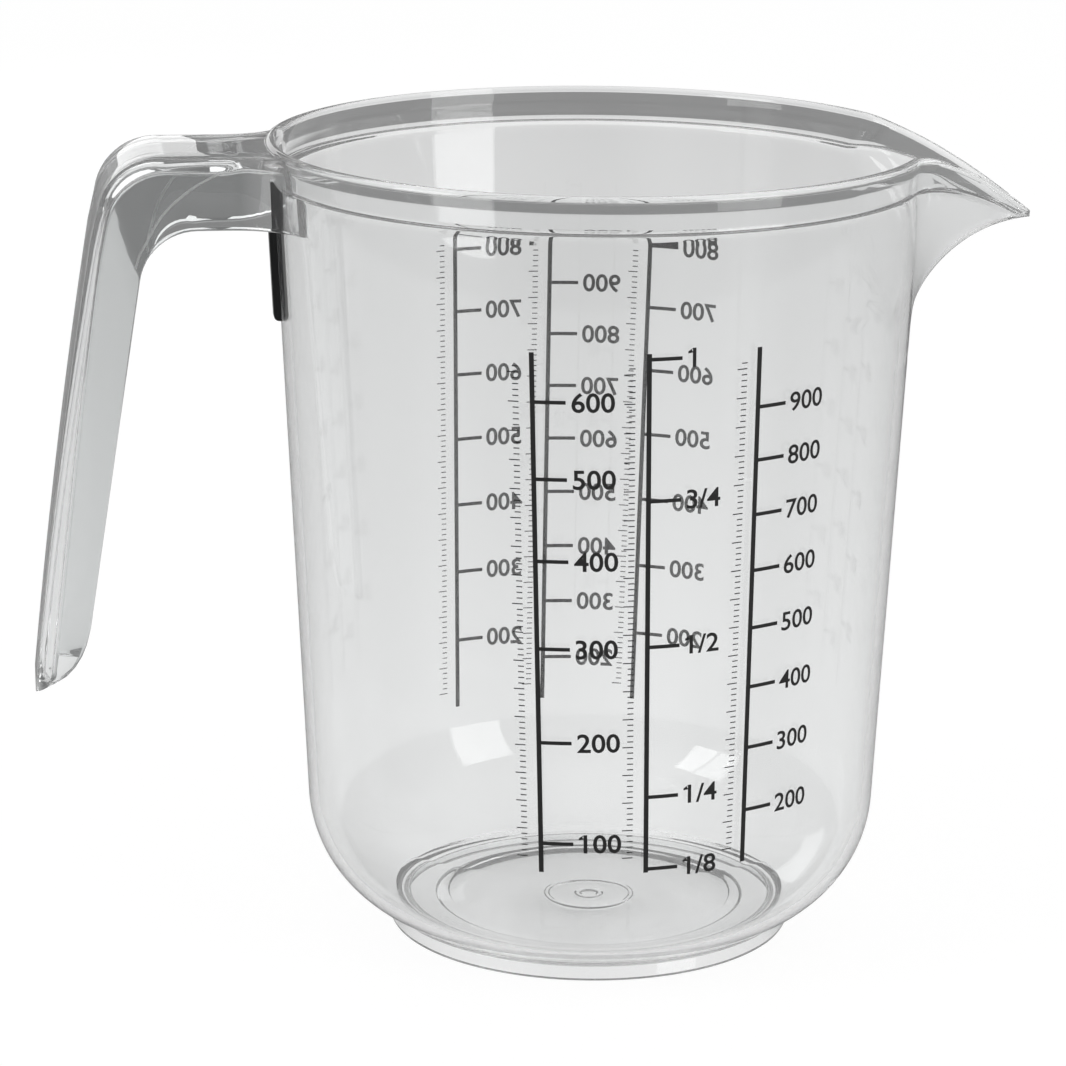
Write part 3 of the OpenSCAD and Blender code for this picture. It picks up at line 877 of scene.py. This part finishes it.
class JUG_OT_rib(bpy.types.Operator):
    """Gives the rib under the handle its near-black finish, a painted shade for clear plastic that looks
    black edge-on
    """

    bl_idname = "jug.rib"
    bl_label = "Rib"

    def execute(self, context):
        looks = context.scene.jug_looks
        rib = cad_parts["handle_rib"]
        rib.data.materials.clear()
        rib.data.materials.append(finish_material("dark_rib", looks.rib, **RIB))
        return {"FINISHED"}


# Printed scales


def hundreds(first, last):
    """Texts of the hundreds from a first to a last."""
    return [str(100 * i) for i in range(first, last + 1)]


# for each scale: its azimuth, the side of its marks, and its figures from the lowest up
SCALES = {
    "flour_scale": (-108, 1, hundreds(1, 6)),
    "litre_scale": (-88, 1, ["1/8", "1/4", "1/2", "3/4", "1"]),
    "sugar_scale": (-68, 1, hundreds(2, 9)),
    "semolina_scale": (112, -1, hundreds(2, 8)),
    "millilitre_scale": (92, -1, hundreds(2, 10)),
    "rice_scale": (72, -1, hundreds(2, 8)),
}
# how far each scale's figures are swollen past the font's plain weight
WEIGHTS = dict(zip(SCALES, (0.00008, 0.00006, 0.00005, 0.00009, 0.00009, 0.00009)))
# the font's capitals as a share of its size, and the flag of a one, in figure heights from its top left
CAPITAL, FIGURE_STRETCH = 0.70, 1.06
FLAG = ((0.02, 0), (-0.05, -0.1), (-0.23, -0.17), (-0.23, -0.28), (0.02, -0.24))
PRINT_LIFT, PRINT_THICKNESS, FIGURE_GAP = 0.00012, 0.00002, 0.0068
# a fine column's margins and offset; its marks' width, spacing and half lengths in shares, long and short
COLUMN_FOOT, COLUMN_HEAD, COLUMN_GAP = 0.003, 0.002, 0.0024
FINE_WIDTH, FINE_SPACING, LONG_HALF, SHORT_HALF = 0.0002, 0.00105, 0.8, 0.45
# the height round which the print leans, the least gap between marks, and where along a mark its end begins
LEAN_Z = (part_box("litre_scale")[0].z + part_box("litre_scale")[1].z) / 2
MARK_GAP, MARK_END = 0.003, 0.9


def mark_heights(cup, lean, name):
    """Heights of a scale node's marks from the lowest up, read off the far ends of its marks."""
    azimuth, side, _ = SCALES[name]
    flat = []
    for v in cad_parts[name].data.vertices:
        turn = (math.atan2(v.co.y, v.co.x) - math.radians(azimuth) + math.pi) % (2 * math.pi) - math.pi
        flat.append(Matrix.Rotation(-lean, 2) @ Vector((turn * wall_radius(cup, v.co.z), v.co.z - LEAN_Z)))
    reach = max(side * p.x for p in flat)
    ends = sorted(p.y + LEAN_Z for p in flat if side * p.x > MARK_END * reach)
    marks = [[ends[0]]]
    for z in ends[1:]:
        if z - marks[-1][-1] > MARK_GAP:
            marks.append([])
        marks[-1].append(z)
    return [(m[0] + m[-1]) / 2 for m in marks]


def wrap(bm, cup, lean, azimuth, across, up):
    """Lays flat print on the wall: x runs to the right seen from outside, y up, z outwards."""
    for v in bm.verts:
        flat = Matrix.Rotation(lean, 2) @ Vector((across + v.co.x, up + v.co.y - LEAN_Z))
        z = LEAN_Z + flat.y
        r = wall_radius(cup, z) + PRINT_LIFT + v.co.z
        a = math.radians(azimuth) + flat.x / wall_radius(cup, z)
        v.co = (r * math.cos(a), r * math.sin(a), z)


def text_mesh(text, height, weight):
    """A short text as flat print."""
    curve = bpy.data.curves.new("figure", "FONT")
    curve.body = text
    curve.size = height / CAPITAL
    curve.offset = weight
    curve.extrude = PRINT_THICKNESS
    curve.resolution_u = 4
    obj = bpy.data.objects.new("figure", curve)
    bpy.context.scene.collection.objects.link(obj)
    bpy.context.view_layer.update()
    mesh = bpy.data.meshes.new_from_object(obj.evaluated_get(bpy.context.evaluated_depsgraph_get()))
    bpy.data.objects.remove(obj)
    bpy.data.curves.remove(curve)
    return mesh


def figure(text, size, weight):
    """A figure as flat print, its left end at x = 0 and its middle at y = 0, and its width."""
    mesh = text_mesh(text, size, weight)
    bm = bmesh.new()
    bm.from_mesh(mesh)
    bpy.data.meshes.remove(mesh)
    xs = [v.co.x for v in bm.verts]
    ys = [v.co.y for v in bm.verts]
    if text[0] == "1":
        # the font's one is a plain bar: give it a flag
        left = min(xs)
        top = max(v.co.y for v in bm.verts if v.co.x < left + 0.1 * size)
        flag = [bm.verts.new((left + x * size, top + y * size, PRINT_THICKNESS)) for x, y in FLAG]
        bmesh.ops.contextual_create(bm, geom=flag)
        xs += [v.co.x for v in flag]
    bmesh.ops.scale(bm, vec=(FIGURE_STRETCH, 1, 1), verts=bm.verts)
    shift = (-min(xs) * FIGURE_STRETCH, -(max(ys) + min(ys)) / 2, 0)
    bmesh.ops.translate(bm, vec=shift, verts=bm.verts)
    return bm, (max(xs) - min(xs)) * FIGURE_STRETCH


def fine_column(target, cup, looks, name):
    """The column of fine marks on the plain side of a scale's line."""
    azimuth, side, _ = SCALES[name]
    low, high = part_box(name)
    z, row = low.z + COLUMN_FOOT, 0
    while z < high.z - COLUMN_HEAD:
        half = looks.fine * (LONG_HALF if row % 5 == 0 else SHORT_HALF)
        bm = bmesh.new()
        bmesh.ops.create_grid(bm, x_segments=2, y_segments=1, size=0.5)
        bmesh.ops.scale(bm, vec=(half * 2, FINE_WIDTH, 1), verts=bm.verts)
        wrap(bm, cup, looks.lean, azimuth, -side * (COLUMN_GAP + half), z)
        add_piece(target, bm)
        z += FINE_SPACING
        row += 1


class JUG_OT_scales(bpy.types.Operator):
    """Inks the six scales, and prints their figures and their columns of fine marks"""

    bl_idname = "jug.scales"
    bl_label = "Printed Scales"

    def execute(self, context):
        scene = context.scene
        cup, looks = scene.jug_cup, scene.jug_looks
        ink = finish_material("scale_ink", looks.ink, **INK)
        for name, (azimuth, side, texts) in SCALES.items():
            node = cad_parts[name]
            node.data.materials.clear()
            node.data.materials.append(ink)
            all_print = bmesh.new()
            for text, z in zip(texts, mark_heights(cup, looks.lean, name)):
                bm, width = figure(text, looks.figure, WEIGHTS[name])
                start = FIGURE_GAP if side > 0 else -FIGURE_GAP - width
                wrap(bm, cup, looks.lean, azimuth, start, z)
                add_piece(all_print, bm)
            fine_column(all_print, cup, looks, name)
            bmesh.ops.recalc_face_normals(all_print, faces=all_print.faces)
            figures = name.replace("scale", "figures")
            obj = link_object(figures, made_mesh(all_print, figures), ink)
            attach(obj, "root")
        return {"FINISHED"}


# Studio

# how light the paper glows to rays through the jug, by the distance from it: painted light that greys away
# from the jug, and painted shade past the table's edge at 0.9 m
PAPER_GLOW_FALLOFF = ((0.0, 1.0), (0.1, 1.0), (0.3, 0.9), (0.55, 0.82), (0.89, 0.75), (0.925, 0.27), (1.0, 0.24))
# how light the paper is in reflections and to the camera, and how much of it is glow
REFLECTED_PAPER, SEEN_PAPER, GLOW_SHARE = 0.2, 1.07, 0.88
# how light the room is, by the height of the direction's unit vector
ROOM_LEVELS = ((0.0, 0.3), (0.15, 0.2), (0.35, 0.16), (0.55, 0.4), (0.8, 0.65), (1.0, 0.65))
SEEN_ROOM = 1.02
# name, place, size in metres and power in watts
LAMPS = (
    ("softbox_left", (-0.93, -0.36, 0.62), (0.45, 0.5), 2.4),
    ("window_right", (0.70, -0.71, 0.30), (0.44, 0.72), 2.9),
    ("card_behind", (-0.27, 1.0, 0.33), (0.5, 0.25), 0.45),
)
LAMP_AIM_Z = 0.08
BOUNCES = 24
# the sensor's width, and a pixel's at the jug, in millimetres
SENSOR, PIXEL_AT_JUG = 36.0, 0.1875
# the photo's width, its focal length and its centre's shift in pixels
PHOTO_PIXELS, FOCAL_PIXELS, SHIFT_PIXELS = 1066, 4196.1, (-60.03, 0.29)
CAMERA_TURN, CAMERA_RISE, CAMERA_ROLL = math.radians(8.0), math.radians(15.056), math.radians(0.693)
CAMERA_TARGET = Vector((0, 0, 0.075))


def level_ramp(n, levels):
    """A grey ramp through (place, level) pairs that start at 0 and end at 1."""
    ramp = n.new("ShaderNodeValToRGB")
    stops = ramp.color_ramp.elements
    for place, level in levels:
        stop = stops[0] if place == 0 else stops[-1] if place == 1 else stops.new(place)
        stop.color = (level, level, level, 1)
    return ramp


def level_switch(n, off, on):
    """A mix of two levels, one for each state of a light path."""
    mix = n.new("ShaderNodeMix")
    mix.data_type = "FLOAT"
    mix.inputs[2].default_value = off
    mix.inputs[3].default_value = on
    return mix


class JUG_OT_studio(bpy.types.Operator):
    """Sets up the floor, the surroundings, the lamps and the camera"""

    bl_idname = "jug.studio"
    bl_label = "Studio"

    def execute(self, context):
        scene = context.scene
        self.floor()
        self.world(scene)
        self.lamps(scene)
        self.camera(scene)
        scene.view_settings.view_transform = "Standard"
        for kind in ("max_bounces", "transmission_bounces", "glossy_bounces", "transparent_max_bounces"):
            setattr(scene.cycles, kind, BOUNCES)
        return {"FINISHED"}

    def floor(self):
        """Paper that is white to the camera, and that to the jug's rays glows with painted light that greys
        with distance and ends in painted shade at a table's edge.
        """
        bm = bmesh.new()
        bmesh.ops.create_grid(bm, x_segments=1, y_segments=1, size=6)
        mat = bpy.data.materials.new("floor_white")
        mat.use_nodes = True
        n, link = mat.node_tree.nodes, mat.node_tree.links
        shader = n["Principled BSDF"]
        shader.inputs["Base Color"].default_value = (0.9, 0.9, 0.9, 1)
        shader.inputs["Roughness"].default_value = 0.9
        coord = n.new("ShaderNodeTexCoord")
        away = n.new("ShaderNodeVectorMath")
        away.operation = "LENGTH"
        link.new(coord.outputs["Object"], away.inputs[0])
        fall = level_ramp(n, PAPER_GLOW_FALLOFF)
        link.new(away.outputs["Value"], fall.inputs["Fac"])
        ray = n.new("ShaderNodeLightPath").outputs
        through = level_switch(n, REFLECTED_PAPER, 1.0)
        link.new(ray["Is Transmission Ray"], through.inputs[0])
        link.new(fall.outputs["Color"], through.inputs[3])
        seen = level_switch(n, 1.0, SEEN_PAPER)
        link.new(ray["Is Camera Ray"], seen.inputs[0])
        link.new(through.outputs[0], seen.inputs[2])
        glow = n.new("ShaderNodeEmission")
        glow.inputs["Color"].default_value = (1, 1, 1, 1)
        link.new(seen.outputs[0], glow.inputs["Strength"])
        straight = ray["Is Camera Ray"]
        for kind in ("Is Glossy Ray", "Is Transmission Ray"):
            add = n.new("ShaderNodeMath")
            add.operation = "ADD"
            add.use_clamp = True
            link.new(straight, add.inputs[0])
            link.new(ray[kind], add.inputs[1])
            straight = add.outputs[0]
        share = n.new("ShaderNodeMath")
        share.operation = "MULTIPLY"
        share.inputs[1].default_value = GLOW_SHARE
        mix = n.new("ShaderNodeMixShader")
        link.new(straight, share.inputs[0])
        link.new(share.outputs[0], mix.inputs["Fac"])
        link.new(shader.outputs[0], mix.inputs[1])
        link.new(glow.outputs[0], mix.inputs[2])
        link.new(mix.outputs[0], n["Material Output"].inputs["Surface"])
        floor = link_object("floor", made_mesh(bm, "floor"), mat)

    def world(self, scene):
        """A room that is dark above the table's edge and light overhead, and white to the camera."""
        world = bpy.data.worlds.new("studio")
        scene.world = world
        world.use_nodes = True
        n, link = world.node_tree.nodes, world.node_tree.links
        back = n["Background"]
        coord = n.new("ShaderNodeTexCoord")
        split = n.new("ShaderNodeSeparateXYZ")
        link.new(coord.outputs["Generated"], split.inputs[0])
        up = level_ramp(n, ROOM_LEVELS)
        up.color_ramp.interpolation = "B_SPLINE"
        link.new(split.outputs["Z"], up.inputs["Fac"])
        ray = n.new("ShaderNodeLightPath").outputs
        mix = level_switch(n, 1.0, SEEN_ROOM)
        link.new(ray["Is Camera Ray"], mix.inputs[0])
        link.new(up.outputs[0], mix.inputs[2])
        back.inputs["Color"].default_value = (1, 1, 1, 1)
        link.new(mix.outputs[0], back.inputs["Strength"])

    def lamps(self, scene):
        for name, where, size, power in LAMPS:
            light = bpy.data.lights.new(name, "AREA")
            light.shape = "RECTANGLE"
            light.size, light.size_y = size
            light.energy = power
            lamp = bpy.data.objects.new(name, light)
            scene.collection.objects.link(lamp)
            lamp.location = where
            aim = Vector((0, 0, LAMP_AIM_Z)) - Vector(where)
            lamp.rotation_euler = aim.to_track_quat("-Z", "Y").to_euler()

    def camera(self, scene):
        data = bpy.data.cameras.new("camera")
        camera = bpy.data.objects.new("camera", data)
        scene.collection.objects.link(camera)
        scene.camera = camera
        data.sensor_fit = "HORIZONTAL"
        data.sensor_width = SENSOR
        data.lens = FOCAL_PIXELS * SENSOR / PHOTO_PIXELS
        data.shift_x, data.shift_y = (k / PHOTO_PIXELS for k in SHIFT_PIXELS)
        data.clip_start = 0.05
        data.clip_end = 50
        far = FOCAL_PIXELS * PIXEL_AT_JUG * MM
        flat = math.cos(CAMERA_RISE)
        away = Vector((-math.sin(CAMERA_TURN) * flat, -math.cos(CAMERA_TURN) * flat, math.sin(CAMERA_RISE)))
        look = (-away).to_track_quat("-Z", "Y").to_matrix().to_4x4()
        roll = Matrix.Rotation(CAMERA_ROLL, 4, "Z")
        camera.matrix_world = Matrix.Translation(CAMERA_TARGET + away * far) @ look @ roll


class JUG_PT_panel(bpy.types.Panel):
    """Lists the jug's sizes, colours and steps"""

    bl_label = "Measuring Jug"
    bl_idname = "JUG_PT_panel"
    bl_space_type = "VIEW_3D"
    bl_region_type = "UI"
    bl_category = "Measuring Jug"

    def draw(self, context):
        for name in GROUPS:
            group, box = getattr(context.scene, name), self.layout.box()
            for size in group.__annotations__:
                box.prop(group, size)
        for op in OPERATORS:
            self.layout.operator(op.bl_idname)


GROUPS = {"jug_cup": JugCup, "jug_spout": JugSpout, "jug_handle": JugHandle, "jug_looks": JugLooks}
OPERATORS = (JUG_OT_moulding, JUG_OT_lines, JUG_OT_rib, JUG_OT_scales, JUG_OT_studio)
CLASSES = (*GROUPS.values(), *OPERATORS, JUG_PT_panel)


def register():
    for c in CLASSES:
        bpy.utils.register_class(c)
    for name, group in GROUPS.items():
        setattr(bpy.types.Scene, name, PointerProperty(type=group))


def unregister():
    for name in GROUPS:
        delattr(bpy.types.Scene, name)
    for c in reversed(CLASSES):
        bpy.utils.unregister_class(c)


def main():
    register()
    bpy.ops.jug.moulding()
    bpy.ops.jug.lines()
    bpy.ops.jug.rib()
    bpy.ops.jug.scales()
    bpy.ops.jug.studio()


if __name__ == "__main__":
    main()
